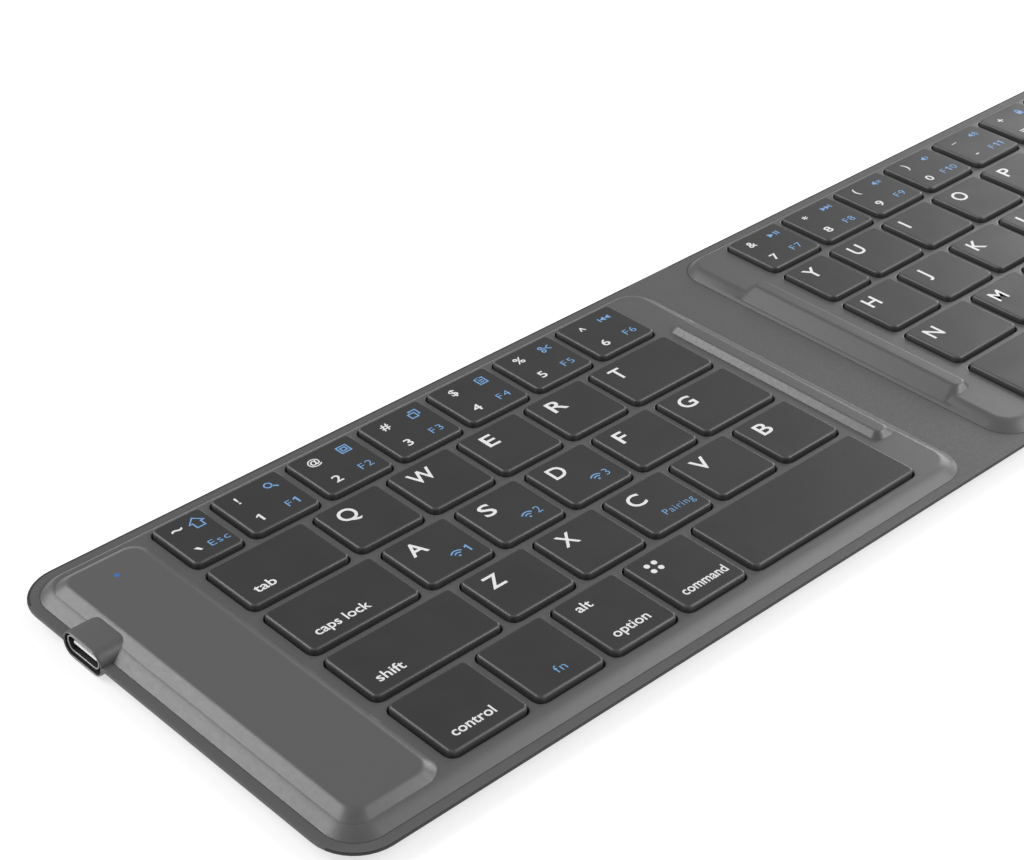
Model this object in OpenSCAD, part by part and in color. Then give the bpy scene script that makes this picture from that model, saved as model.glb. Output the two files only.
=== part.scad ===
// Folding keyboard: two key trays in leather-like covers, joined by a flexible spine.
// X runs along the key rows, Y away from the typist, Z up. The origin is the middle of the
// footprint on the table. The right half is laid out along +X, the left half along -X.

/* [Keys] */
// Distance between letter keys along a row
key_pitch = 16.6; // [15:0.1:20]
// Gap between neighbouring keycaps in a row
key_gap = 2.3; // [2:0.05:4]
// Distance between rows of keys
row_pitch = 15.5; // [14:0.1:19]
// Gap between rows of keycaps
row_gap = 2.25; // [2:0.05:4.5]
// Extra depth of the front row of keys
front_row_extra = 2.1; // [0:0.1:4]
// Width of the escape key
esc_w = 10.15; // [8:0.05:14]
// Width of the tab key
tab_w = 20.5; // [14:0.05:24]
// Width of the caps lock key
caps_w = 22.7; // [15:0.05:26]
// Width of the left shift key
shift_w = 26.7; // [17:0.05:30]
// Width of the control key
control_w = 16.1; // [12:0.05:18]
// Width of the 7 key
seven_w = 14.3; // [10:0.05:18]
// Width of the Y key
y_w = 11.55; // [9:0.05:16]
// Width of the H key
h_w = 14.3; // [10:0.05:18]
// Width of the N key
n_w = 18.25; // [12:0.05:22]
// How far a key goes down
key_travel = 1.2; // [0.6:0.1:1.5]
// Corner radius of a keycap
cap_r = 0.8; // [0.4:0.1:1.5]
// Chamfer round the top of a keycap
cap_chamfer = 0.25; // [0.1:0.05:0.4]
// Height of a keycap
cap_h = 2.3; // [1.8:0.1:2.4]
// Thickness of the keycap's top and walls
cap_wall = 1; // [0.8:0.1:1.2]
// Clearance round a keycap in its well
well_gap = 0.5; // [0.3:0.05:0.8]

/* [Layout] */
// Distance from the middle of the spine to the left keys
left_gap = 16.75; // [16.75:0.05:22]
// Distance from the middle of the spine to the right keys
right_gap = 17.95; // [16.75:0.05:22]
// Width of the flat margin of the cover round each tray
flange_w = 2.2; // [1.5:0.1:4]
// Run of the sloped edge of each tray
bevel_w = 2.3; // [1.5:0.1:3]
// Flat strip between the keys and the sloped edge, front and back
edge_strip = 1.425; // [1.4:0.025:4]
// How far the keys sit behind the middle
block_offset = 0.65; // [0:0.05:0.8]
// Flat strip between the keys and the sloped edge, at the far right
side_strip = 3; // [1.6:0.1:5]
// Width of the platform over the battery, with its slopes
platform_w = 18.8; // [17:0.1:26]
// Flat strip between the platform and the first keys
platform_strip = 2.2; // [1.4:0.1:5]
// Corner radius of the covers
corner_r = 8.6; // [6:0.1:12]

/* [Heights] */
// Height of the cover's flange above the table
flange_z = 2.6; // [2.4:0.1:4]
// Thickness of the covers and of the spine
skin_t = 0.6; // [0.4:0.1:0.8]
// Height of the trays above the flange
tray_rise = 1.5; // [1.2:0.1:2.5]
// Height of the keycaps above the tray
cap_rise = 1; // [0.4:0.1:1.2]
// Height of the platform and the ridges above the tray
spacer_rise = 1.15; // [1:0.05:1.8]
// Gap between facing platforms and ridges when the keyboard is closed
closed_gap = 0.3; // [0.2:0.05:0.6]

/* [Ridges] */
// Length of each ridge
ridge_len = 52.8; // [30:0.1:70]
// How far the ridges sit in front of the middle
ridge_offset = 0.75; // [0:0.05:4]
// Width of a ridge's flat top
ridge_top_w = 2.1; // [1:0.1:3]
// Distance from the middle of the spine to a ridge's top
ridge_top_x = 10.4; // [9.5:0.1:11]

/* [Spine] */
// Width of the flat flexible strip between the trays
spine_w = 11.5; // [11:0.1:12.5]
// Slit left at each line where the spine bends
flex_slit = 0.1; // [0.05:0.05:0.2]
// Width of the flat cable across the spine
cable_w = 12; // [6:0.5:20]
// Thickness of the flat cable
cable_t = 0.2; // [0.1:0.05:0.25]

/* [Electronics] */
// Width of the charging socket's shell
socket_w = 8.94; // [7:0.01:9.2]
// Height of the charging socket's shell
socket_h = 3.26; // [2:0.01:3.4]
// Depth of the charging socket
socket_l = 6.4; // [5.8:0.1:6.5]
// Width of the housing round the socket
port_w = 10.9; // [10.5:0.1:13]
// Height of the housing round the socket
port_h = 5.1; // [4.6:0.1:5.2]
// How far the housing runs in from the left edge
port_l = 6.8; // [6.8:0.1:8]
// Distance of the socket behind the middle
port_y = 22.65; // [16:0.05:26]
// Diameter of the status light
led_d = 1; // [0.8:0.1:2]
// Length of the battery
battery_l = 42; // [25:0.5:42]
// Thickness of the battery
battery_t = 3.4; // [2.5:0.1:3.6]
// Thickness of the steel base plates
plate_t = 0.4; // [0.3:0.05:0.5]
// Thickness of the switch membranes
membrane_t = 0.25; // [0.15:0.05:0.3]

/* [Hidden] */
$fn = 48;
// Overlap of joined shapes, and clearance between pieces that touch
eps = 0.01;
fit = 0.05;

// Heights worked out from the stack
flange_top = flange_z + skin_t;
tray_top = flange_top + tray_rise;
cap_top = tray_top + cap_rise;
spacer_top = tray_top + spacer_rise;
cap_bottom = cap_top - cap_h;
cap_ceiling = cap_top - cap_wall;
plate_z = skin_t;
membrane_z = plate_z + plate_t;
switch_z = membrane_z + membrane_t;

// The spine bends on two lines. Their distance lets the halves meet face to face.
fold_x = spacer_top + closed_gap / 2 - flange_top;
spine_x = spine_w / 2;

// Widths and depths worked out from the keys
cap_w = key_pitch - key_gap;
cap_d = row_pitch - row_gap;
front_cap_d = cap_d + front_row_extra;
left_block_w = esc_w + 6 * key_pitch;
platform_edge = 0.2;
left_margin = flange_w + bevel_w + platform_edge + platform_w + platform_strip;
right_margin = flange_w + bevel_w + side_strip;
right_block_w = left_gap + left_block_w + left_margin - right_margin - right_gap;
half_w = left_gap + left_block_w + left_margin;
block_d = 4 * row_pitch + front_cap_d;
half_d = block_d / 2 + edge_strip + bevel_w + flange_w;
tray_r = corner_r - flange_w;
left_x = -left_gap - left_block_w;
right_x = right_gap;

// Rows of keys, back to front: width of the first key, how many letter-sized keys follow,
// and the names. The last key fills the row to the end of its block.
left_rows = [
    [esc_w, 5, ["esc", "1", "2", "3", "4", "5", "6"]],
    [tab_w, 4, ["tab", "q", "w", "e", "r", "t"]],
    [caps_w, 4, ["caps_lock", "a", "s", "d", "f", "g"]],
    [shift_w, 4, ["left_shift", "z", "x", "c", "v", "b"]],
    [control_w, 3, ["control", "fn", "option", "command", "left_space"]]
];
arrows_w = 5 * key_pitch;
right_rows = [
    [seven_w, 5, ["7", "8", "9", "0", "minus", "equals", "backspace"]],
    [y_w, 6, ["y", "u", "i", "o", "p", "left_bracket", "right_bracket", "backslash"]],
    [h_w, 5, ["h", "j", "k", "l", "semicolon", "quote", "enter"]],
    [n_w, 4, ["n", "m", "comma", "full_stop", "slash", "right_shift"]],
    [right_block_w - arrows_w, 4,
        ["right_space", "right_command", "right_option", "left_arrow", "up_down", "right_arrow"]]
];

// The half-depth arrow keys share one well
arrow_gap = 0.6;

// One key as [name, left edge, front edge, width, depth]
function keys_of(rows, x0, w) = [
    for (r = [0:len(rows) - 1]) let (
        row = rows[r],
        count = row[1],
        d = r == 4 ? front_cap_d : cap_d,
        y = block_offset + block_d / 2 - r * row_pitch - d,
        second = row[0] + key_gap
    ) for (k = [0:count + 1]) [
        row[2][k],
        x0 + (k == 0 ? 0 : second + (k - 1) * key_pitch),
        y,
        k == 0 ? row[0] : k <= count ? cap_w : w - second - count * key_pitch,
        d
    ]
];
left_keys = keys_of(left_rows, left_x, left_block_w);
right_wells = keys_of(right_rows, right_x, right_block_w);
up_down = [for (k = right_wells) if (k[0] == "up_down") k][0];
half_cap_d = (front_cap_d - arrow_gap) / 2;
right_keys = concat(
    [for (k = right_wells) if (k[0] != "up_down") k],
    [["down_arrow", up_down[1], up_down[2], up_down[3], half_cap_d],
     ["up_arrow", up_down[1], up_down[2] + half_cap_d + arrow_gap, up_down[3], half_cap_d]]
);
all_keys = concat(left_keys, right_keys);

// Keys that share a node, so that the part keeps to its number of files
number_keys_left = ["esc", "1", "2", "3", "4", "5", "6"];
number_keys_right = ["7", "8", "9", "0", "minus", "equals"];
punctuation_keys = ["left_bracket", "right_bracket", "backslash", "semicolon", "quote",
    "comma", "full_stop", "slash"];
arrow_and_modifier_keys = ["right_shift", "right_command", "right_option", "left_arrow",
    "right_arrow", "up_arrow", "down_arrow"];
KEY_GROUPS = [
    ["number_keys_left", number_keys_left],
    ["number_keys_right", number_keys_right],
    ["punctuation_keys", punctuation_keys],
    ["arrow_and_modifier_keys", arrow_and_modifier_keys]
];
grouped = [for (g = KEY_GROUPS) each g[1]];
function has(list, name) = len([for (v = list) if (v == name) v]) > 0;
single_keys = [for (k = all_keys) if (!has(grouped, k[0])) k];

// Colours
skin_grey = "#5c5c5e";
tray_grey = "#68686a";
cap_grey = "#3e3e40";

// A rectangle with round corners
module round_rect(x, y, w, d, r) {
    translate([x + r, y]) square([w - 2 * r, d]);
    translate([x, y + r]) square([w, d - 2 * r]);
    for (cx = [x + r, x + w - r], cy = [y + r, y + d - r])
        translate([cx, cy]) circle(r);
}

// An upright block with round corners between two heights
module round_block(x, y, w, d, r, z0, z1) {
    translate([0, 0, z0]) linear_extrude(z1 - z0) round_rect(x, y, w, d, r);
}

// A slab whose four sides slope in by run over its height
module bevel_slab(x, y, w, d, r, z0, rise, run) {
    side = [[0, 0], [w, 0], [w - run, rise], [run, rise]];
    front = [[0, 0], [d, 0], [d - run, rise], [run, rise]];
    translate([x, y + d - r, z0]) rotate([90, 0, 0]) linear_extrude(d - 2 * r) polygon(side);
    translate([x + r, y, z0]) rotate([90, 0, 90]) linear_extrude(w - 2 * r) polygon(front);
    for (cx = [x + r, x + w - r], cy = [y + r, y + d - r])
        translate([cx, cy, z0]) cylinder(h = rise, r1 = r, r2 = r - run);
}

// The same slab upside down, widest at its top
module keel_slab(x, y, w, d, r, z0, rise, run) {
    translate([0, 0, 2 * z0 + rise]) mirror([0, 0, 1]) bevel_slab(x, y, w, d, r, z0, rise, run);
}

// A bar with round ends along X: the shape of the charging port
module port_bar(x0, x1, w, h) {
    translate([x0, port_y - w / 2 + h / 2, port_z - h / 2]) cube([x1 - x0, w - h, h]);
    for (s = [-1, 1]) translate([x0, port_y + s * (w - h) / 2, port_z])
        rotate([0, 90, 0]) cylinder(h = x1 - x0, d = h);
}
port_z = port_h / 2 + 0.35;

// Puts a shape drawn for the right half on the half that is asked for
module on_side(side) {
    mirror([side < 0 ? 1 : 0, 0, 0]) children();
}

// Cover: a thin flange all round, and a shallow pan below it
pan_run = 1.8;
pan_wall = 1;
module cover(side) {
    d = 2 * half_d;
    tray_w = half_w - flange_w - spine_x;
    tray_d = d - 2 * flange_w;
    color(skin_grey) difference() {
        on_side(side) {
            difference() {
                round_block(-half_w, -half_d, 2 * half_w, d, corner_r, flange_z, flange_top);
                translate([-half_w - 1, -half_d - 1, flange_z - 1])
                    cube([half_w + 1 + fold_x + flex_slit, d + 2, skin_t + 2]);
            }
            keel_slab(spine_x, -half_d + flange_w, tray_w, tray_d, tray_r, 0, flange_z + eps,
                pan_run);
        }
        on_side(side) keel_slab(spine_x + pan_wall, -half_d + flange_w + pan_wall,
            tray_w - 2 * pan_wall, tray_d - 2 * pan_wall, tray_r - pan_wall, skin_t,
            flange_top, pan_run);
        on_side(side) cable_slot();
        if (side < 0) port_bar(-half_w - 1, -half_w + port_l + fit, port_w + 2 * fit,
            port_h + 2 * fit);
    }
}

// The flat cable leaves each half through a slot in the cover's spine edge
module cable_slot() {
    translate([fold_x - 1, -cable_w / 2 - 0.3, cable_z - 0.05])
        cube([spine_x + pan_wall + 1 - fold_x + 1, cable_w + 0.6, cable_t + 0.1]);
}
cable_z = flange_z + (skin_t - cable_t) / 2;

// Spine: the strip of cover between the two lines where it bends
module spine_panel() {
    color(skin_grey) difference() {
        translate([-fold_x, -half_d, flange_z]) cube([2 * fold_x, 2 * half_d, skin_t]);
        translate([-fold_x - 1, -cable_w / 2 - 0.1, cable_z - 0.05])
            cube([2 * fold_x + 2, cable_w + 0.2, cable_t + 0.1]);
    }
}

module flex_cable() {
    color("#c98f2e") translate([-fold_x + flex_slit, -cable_w / 2, cable_z])
        cube([2 * (fold_x - flex_slit), cable_w, cable_t]);
}

// Ridge: a long wedge on the tray beside the spine, with sloped ends
ridge_foot = 1.8;
module ridge() {
    top_end = ridge_top_x + ridge_top_w;
    rise = spacer_top - flange_top;
    reach = tray_rise * ridge_foot / spacer_rise;
    across = [[spine_x, 0], [spine_x + 0.35, 0.65], [ridge_top_x, rise], [top_end, rise],
        [top_end + ridge_foot + reach, 0]];
    along = [[-reach, 0], [ridge_len + reach, 0], [ridge_len - ridge_foot, rise],
        [ridge_foot, rise]];
    translate([0, -ridge_offset - ridge_len / 2, flange_top]) intersection() {
        translate([0, ridge_len + reach, 0]) rotate([90, 0, 0])
            linear_extrude(ridge_len + 2 * reach) polygon(across);
        rotate([90, 0, 90]) linear_extrude(top_end + ridge_foot + reach) polygon(along);
    }
}

// The wells that keycaps travel in
module wells(keys) {
    for (k = keys) round_block(k[1] - well_gap, k[2] - well_gap, k[3] + 2 * well_gap,
        k[4] + 2 * well_gap, cap_r + well_gap / 2, flange_z, tray_top + 1);
}

// Tray: a sloped shell with a ridge, and on the left the platform over the battery
shell_t = 0.95;
tray_wall = 1.2;
module tray(side, keys) {
    tray_w = half_w - flange_w - spine_x;
    y = -half_d + flange_w;
    d = 2 * half_d - 2 * flange_w;
    difference() {
        union() {
            on_side(side) {
                bevel_slab(spine_x, y, tray_w, d, tray_r, flange_top, tray_rise, bevel_w);
                ridge();
            }
            if (side < 0) platform(0, tray_top - eps, spacer_rise + eps);
        }
        on_side(side) bevel_slab(spine_x + tray_wall, y + tray_wall, tray_w - 2 * tray_wall,
            d - 2 * tray_wall, tray_r - tray_wall, flange_top - eps,
            tray_rise - shell_t, 0.6);
        wells(keys);
        if (side < 0) {
            platform(1.3, flange_top, tray_rise + spacer_rise - shell_t);
            port_bar(-half_w - 1, -half_w + port_l + fit, port_w + 2 * fit, port_h + 2 * fit);
            status_hole();
        }
    }
}

// The platform's outline, drawn in by a wall thickness for its hollow
platform_ends = 0.4;
platform_run = 2.3;
platform_r = 3.7;
module platform(wall, z0, rise) {
    x = -half_w + flange_w + bevel_w + platform_edge;
    y = -half_d + flange_w + bevel_w + platform_ends;
    bevel_slab(x + wall, y + wall, platform_w - 2 * wall, -2 * y - 2 * wall,
        platform_r - wall * 0.4, z0, rise, wall > 0 ? 1.5 : platform_run);
}

led_x = left_x - 11.5;
led_y = 32.7;
module status_hole() {
    translate([led_x, led_y, tray_top]) cylinder(h = spacer_rise + 1, d = led_d);
}

module left_tray() {
    color(tray_grey) tray(-1, left_keys);
}

module right_tray() {
    color(tray_grey) tray(1, right_wells);
}

// The light pipe sits in its hole, flush with the platform
module status_led() {
    color("#2b6fc0") translate([led_x, led_y, 0]) {
        translate([0, 0, tray_top + 0.4]) cylinder(h = spacer_rise - 0.4, d = led_d - 0.02);
        translate([-1, -1, board_z + board_t]) cube([2, 2, tray_top + 0.2 - board_z - board_t]);
        translate([0, 0, tray_top]) cylinder(h = 0.6, d = led_d - 0.1);
    }
}

// Housing round the charging socket, a bar with round ends and a bore for the socket
module port_housing() {
    color(tray_grey) difference() {
        port_bar(-half_w, -half_w + port_l, port_w, port_h);
        socket_bar(-half_w - 1, -half_w + port_l + 1, socket_w + 2 * fit, socket_h + 2 * fit);
    }
}

// The socket sits a little above the middle of its housing
socket_lift = 0.3;
module socket_bar(x0, x1, w, h) {
    translate([0, 0, socket_lift]) port_bar(x0, x1, w, h);
}

// Charging socket: a round-ended metal shell, closed behind, with a tongue
shell_wall = 0.3;
module usb_socket() {
    x0 = -half_w + 0.2;
    low = port_z + socket_lift - socket_h / 2;
    color("#b8b8ba") {
        difference() {
            socket_bar(x0, x0 + socket_l, socket_w, socket_h);
            socket_bar(x0 - 1, x0 + socket_l - 1.2, socket_w - 2 * shell_wall,
                socket_h - 2 * shell_wall);
        }
        translate([x0 + 1.2, port_y - 3.3, port_z + socket_lift - 0.35])
            cube([socket_l - 2, 6.6, 0.7]);
        translate([x0 + socket_l - 0.5, port_y - 3, low]) cube([2.9, 6, 1.2]);
        translate([-half_w + port_l + 0.3, port_y - 3, board_z + board_t])
            cube([x0 + socket_l + 2.4 + half_w - port_l - 0.3, 6, low + 0.5 - board_z - board_t]);
    }
}

// Main board under the platform, notched round the socket
board_z = skin_t;
board_t = 0.6;
board_front = 6;
module main_board() {
    x0 = -half_w + flange_w + bevel_w + 1.2;
    depth = half_d - flange_w - pan_wall - 3.6 - board_front;
    color("#2f5a3a") difference() {
        translate([x0, board_front, board_z]) cube([platform_w - 3, depth, board_t]);
        translate([x0 - 1, port_y - port_w / 2 - 0.3, board_z - 1])
            cube([-half_w + port_l + 0.1 - x0 + 1, port_w + 0.6, board_t + 2]);
    }
}

module battery() {
    x0 = -half_w + flange_w + bevel_w + 2.4;
    color("#8f9296") round_block(x0, board_front - 1 - battery_l, platform_w - 5, battery_l, 1,
        plate_z, plate_z + battery_t);
}

// Base plate, and the membrane on it, under the keys of one half
module sheet_under(side, z, t, grow) {
    edge = pan_wall + pan_run + 0.2;
    x0 = side < 0 ? left_x - 1 : spine_x + edge;
    x1 = side < 0 ? -spine_x - edge : half_w - flange_w - edge;
    y = half_d - flange_w - edge;
    round_block(x0 - grow, -y - grow, x1 - x0 + 2 * grow, 2 * (y + grow), 3, z, z + t);
}

module plate(side) {
    color("#9a9da0") sheet_under(side, plate_z, plate_t, 0);
}

module membrane(side) {
    color("#d8d4c4") sheet_under(side, membrane_z, membrane_t, -0.2);
}

// Wide keys stand on two switches' worth of frames, others on one
frame_l = 9;
frame_w = 8.6;
wide_key = 25;
function supports(k) = k[3] > wide_key ? [-k[3] / 4, k[3] / 4] : [0];
function support_scale(k) = min(1, (k[3] - 2 * cap_wall - 0.6) / frame_l);
function frame_scale_y(k) = min(1, (k[4] - 2 * cap_wall - 0.6) / frame_w);

// Rubber dome under the middle of each key
dome_r = 2.4;
module domes(keys) {
    color("#cfcfcf") for (k = keys) {
        s = min(support_scale(k), frame_scale_y(k));
        translate([k[1] + k[3] / 2, k[2] + k[4] / 2, switch_z])
            cylinder(h = cap_ceiling - switch_z - fit, r1 = dome_r * s, r2 = dome_r * 0.6 * s);
    }
}

// Side view of one arm of a scissor frame, sloping up along X, with an eye for the pin
arm_t = 0.6;
arm_w = 0.7;
pin_r = 0.3;
module arm_side(l, rise, eye) {
    difference() {
        union() {
            polygon([[-l / 2, 0], [-l / 2 + 0.4, 0], [l / 2, rise - arm_t], [l / 2, rise],
                [l / 2 - 0.4, rise], [-l / 2, arm_t]]);
            translate([0, rise / 2]) circle(pin_r + 0.4);
        }
        if (eye) translate([0, rise / 2]) circle(pin_r + 0.06);
    }
}

module arm(l, rise, y, w, eye) {
    translate([0, y + w, 0]) rotate([90, 0, 0]) linear_extrude(w) arm_side(l, rise, eye);
}

// Two crossed frames: the pins of the inner one turn in the eyes of the outer one
module scissor(l, scale_y) {
    rise = cap_ceiling - fit - switch_z;
    side = frame_w / 2 * scale_y;
    t = arm_w * scale_y;
    inner = side - t - 0.06;
    bar = 0.7;
    translate([0, 0, switch_z]) {
        for (s = [0, 1]) mirror([0, s, 0]) arm(l, rise, side - t, t, true);
        translate([l / 2 - bar, -side + t, rise - arm_t]) cube([bar, 2 * (side - t), arm_t]);
        for (s = [0, 1]) mirror([0, s, 0]) {
            mirror([1, 0, 0]) arm(l, rise, inner - t, t, false);
            translate([0, side, rise / 2]) rotate([90, 0, 0])
                cylinder(h = side - inner + t / 2, r = pin_r);
        }
        translate([-l / 2, -inner + t, rise - arm_t]) cube([bar, 2 * (inner - t), arm_t]);
    }
}

module scissors(keys) {
    color("#e4e4e0") for (k = keys, x = supports(k))
        translate([k[1] + k[3] / 2 + x, k[2] + k[4] / 2, 0])
            scissor(frame_l * support_scale(k), frame_scale_y(k));
}

// Keycap: a cap with round corners and a chamfered top, hollow underneath
module keycap(k) {
    w = k[3];
    d = k[4];
    wall = cap_h - cap_chamfer;
    c = cap_chamfer;
    color(cap_grey) translate([k[1], k[2], cap_bottom]) difference() {
        union() {
            translate([0, d - cap_r, 0]) rotate([90, 0, 0]) linear_extrude(d - 2 * cap_r)
                polygon([[0, 0], [w, 0], [w, wall], [w - c, cap_h], [c, cap_h], [0, wall]]);
            translate([cap_r, 0, 0]) rotate([90, 0, 90]) linear_extrude(w - 2 * cap_r)
                polygon([[0, 0], [d, 0], [d, wall], [d - c, cap_h], [c, cap_h], [0, wall]]);
            for (x = [cap_r, w - cap_r], y = [cap_r, d - cap_r]) translate([x, y, 0])
                rotate_extrude() polygon([[0, 0], [cap_r, 0], [cap_r, wall],
                    [cap_r - c, cap_h], [0, cap_h]]);
        }
        translate([cap_wall, cap_wall, -1])
            cube([w - 2 * cap_wall, d - 2 * cap_wall, cap_ceiling - cap_bottom + 1]);
    }
}

cover(-1);  // left_cover
cover(1);  // right_cover
spine_panel();
left_tray();
right_tray();
plate(-1);  // left_plate
plate(1);  // right_plate
membrane(-1);  // left_membrane
membrane(1);  // right_membrane
domes(left_keys);  // rubber_domes_left
domes(right_keys);  // rubber_domes_right
scissors(left_keys);  // scissor_links_left
scissors(right_keys);  // scissor_links_right
battery();
main_board();
usb_socket();
port_housing();
status_led();
flex_cable();
for (g = KEY_GROUPS) for (k = all_keys) if (has(g[1], k[0])) keycap(k);
for (k = single_keys) keycap(k);
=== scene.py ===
import functools
import math

import bmesh
import bpy
import numpy as np
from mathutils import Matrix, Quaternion, Vector
from mathutils.geometry import delaunay_2d_cdt


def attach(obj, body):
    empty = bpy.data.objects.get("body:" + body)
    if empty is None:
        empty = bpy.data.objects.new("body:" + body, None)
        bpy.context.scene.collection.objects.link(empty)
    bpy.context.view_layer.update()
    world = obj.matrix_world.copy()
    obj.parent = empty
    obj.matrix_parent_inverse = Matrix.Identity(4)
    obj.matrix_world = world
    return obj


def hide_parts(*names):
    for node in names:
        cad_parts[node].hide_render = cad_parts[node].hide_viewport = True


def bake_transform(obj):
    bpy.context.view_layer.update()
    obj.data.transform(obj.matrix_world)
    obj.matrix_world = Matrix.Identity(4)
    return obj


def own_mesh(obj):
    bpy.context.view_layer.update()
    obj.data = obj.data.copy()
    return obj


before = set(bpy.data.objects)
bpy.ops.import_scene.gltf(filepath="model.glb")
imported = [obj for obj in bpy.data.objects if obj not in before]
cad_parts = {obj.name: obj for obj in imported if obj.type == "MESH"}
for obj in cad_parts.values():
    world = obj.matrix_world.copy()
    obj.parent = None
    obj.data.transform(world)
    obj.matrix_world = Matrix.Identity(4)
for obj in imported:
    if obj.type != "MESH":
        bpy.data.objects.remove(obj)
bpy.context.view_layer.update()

# Sizes of the keyboard in millimetres, as in the frame
MM = 0.001
HALF_W, HALF_D = 152.2, 44.6
FLANGE, CORNER = 2.2, 8.6
SPINE = 5.75
TABLE_GAP, FLANGE_TOP, TRAY_TOP, CAP_TOP, SPACER_TOP = 2.6, 3.2, 4.7, 5.7, 5.85
PITCH, GAP, ROW = 16.6, 2.3, 15.5
CAP_D, FRONT_CAP_D, BLOCK_Y = 13.25, 15.35, 39.325
CAP_FOOT, CAP_CEILING, WELL_GAP = 3.4, 4.7, 0.5


# Camera, where the photograph was taken from

def make_camera():
    data = bpy.data.cameras.new("camera")
    data.sensor_width, data.lens = 36.0, 82.946
    data.clip_start, data.clip_end = 0.02, 20.0
    cam = bpy.data.objects.new("camera", data)
    bpy.context.scene.collection.objects.link(cam)
    cam.location = (-0.3018, -0.24031, 0.24472)
    cam.rotation_mode = "QUATERNION"
    look = Vector((0.56416, 0.60784, -0.5588)).to_track_quat("-Z", "Y")
    cam.rotation_quaternion = look @ Quaternion((0, 0, 1), math.radians(-0.088))
    bpy.context.scene.camera = cam


make_camera()


# Materials

class Finish:
    """A material under construction: its node tree, its surface shader and its object coordinates."""

    def __init__(self, name, colour, rough, **settings):
        self.mat = bpy.data.materials.new(name)
        self.mat.use_nodes = True
        self.tree = self.mat.node_tree
        self.shader = self.tree.nodes["Principled BSDF"]
        self.shader.inputs["Base Color"].default_value = (*colour, 1)
        self.shader.inputs["Roughness"].default_value = rough
        for key, value in settings.items():
            self.shader.inputs[key.replace("_", " ")].default_value = value
        self.place = self.node("ShaderNodeTexCoord").outputs["Object"]

    def node(self, kind, **inputs):
        n = self.tree.nodes.new(kind)
        for key, value in inputs.items():
            socket = n.inputs[key.replace("_", " ")]
            if hasattr(value, "is_linked"):
                self.tree.links.new(value, socket)
            else:
                socket.default_value = value
        return n

    def link(self, a, b):
        self.tree.links.new(a, b)

    def noise(self, scale, detail=2.0, rough=0.5, stretch=None):
        vector = self.place
        if stretch:
            vector = self.node("ShaderNodeMapping", Vector=vector, Scale=stretch).outputs[0]
        return self.node("ShaderNodeTexNoise", Vector=vector, Scale=scale, Detail=detail,
                         Roughness=rough).outputs["Fac"]

    def cells(self, scale, feature="DISTANCE_TO_EDGE"):
        n = self.node("ShaderNodeTexVoronoi", Vector=self.place, Scale=scale)
        n.feature = feature
        return n.outputs["Distance"]

    def remap(self, value, low, high, a, b):
        n = self.node("ShaderNodeMapRange", Value=value)
        for key, v in (("From Min", low), ("From Max", high), ("To Min", a), ("To Max", b)):
            n.inputs[key].default_value = v
        return n.outputs["Result"]

    def mix_colour(self, factor, a, b):
        n = self.tree.nodes.new("ShaderNodeMix")
        n.data_type = "RGBA"
        self.link(factor, n.inputs["Factor"])
        n.inputs["A"].default_value = (*a, 1)
        n.inputs["B"].default_value = (*b, 1)
        self.link(n.outputs["Result"], self.shader.inputs["Base Color"])

    def rough_by(self, value, low, high, a, b):
        self.link(self.remap(value, low, high, a, b), self.shader.inputs["Roughness"])

    def bump(self, *layers):
        """Stacks height maps: each layer is (height, depth in millimetres)."""
        normal = None
        for height, depth in layers:
            n = self.node("ShaderNodeBump", Height=height, Distance=depth * MM)
            if normal is not None:
                self.link(normal, n.inputs["Normal"])
            normal = n.outputs["Normal"]
        self.link(normal, self.shader.inputs["Normal"])


def skin_finish():
    """Grey synthetic leather: fine pebbles with shallow creases, a little mottled."""
    f = Finish("synthetic_leather", (0.079, 0.079, 0.081), 0.5, Specular_IOR_Level=0.5)
    patches = f.noise(60, 3)
    f.mix_colour(patches, (0.074, 0.074, 0.076), (0.083, 0.083, 0.085))
    grain = f.cells(1500)
    f.rough_by(f.noise(900, 2), 0.3, 0.7, 0.46, 0.58)
    f.bump((f.remap(grain, 0.0, 0.25, 0.0, 1.0), 0.013), (f.noise(3500, 2), 0.01))
    return f.mat


def tray_finish():
    """Satin moulded grey with a very fine spark-eroded texture."""
    f = Finish("tray_grey", (0.073, 0.073, 0.075), 0.4, Specular_IOR_Level=0.8)
    patches = f.noise(45, 3)
    f.mix_colour(patches, (0.07, 0.07, 0.072), (0.076, 0.076, 0.078))
    f.rough_by(f.noise(1500, 3), 0.3, 0.7, 0.36, 0.44)
    f.bump((f.noise(5000, 2), 0.01), (f.noise(400, 2), 0.01))
    return f.mat


def cap_finish():
    """Satin dark keycap plastic with a fine grain, slightly polished by fingers."""
    f = Finish("keycap_black", (0.02, 0.02, 0.0205), 0.42, Specular_IOR_Level=0.5)
    f.mix_colour(f.noise(70, 3), (0.0185, 0.0185, 0.019), (0.0215, 0.0215, 0.022))
    f.rough_by(f.noise(120, 2), 0.35, 0.65, 0.38, 0.46)
    f.bump((f.noise(4500, 2), 0.014), (f.noise(1600, 2), 0.012))
    return f.mat


def cap_side_painted_light_finish():
    """The smoother sides and edges of a keycap, painted lighter than the top: painted light for the
    light the walls and edges catch.
    """
    f = Finish("keycap_side", (0.054, 0.054, 0.055), 0.36, Specular_IOR_Level=0.55)
    f.mix_colour(f.noise(90, 3), (0.05, 0.05, 0.051), (0.058, 0.058, 0.059))
    f.rough_by(f.noise(700, 2), 0.3, 0.7, 0.3, 0.38)
    f.bump((f.noise(4500, 2), 0.006))
    return f.mat


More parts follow.
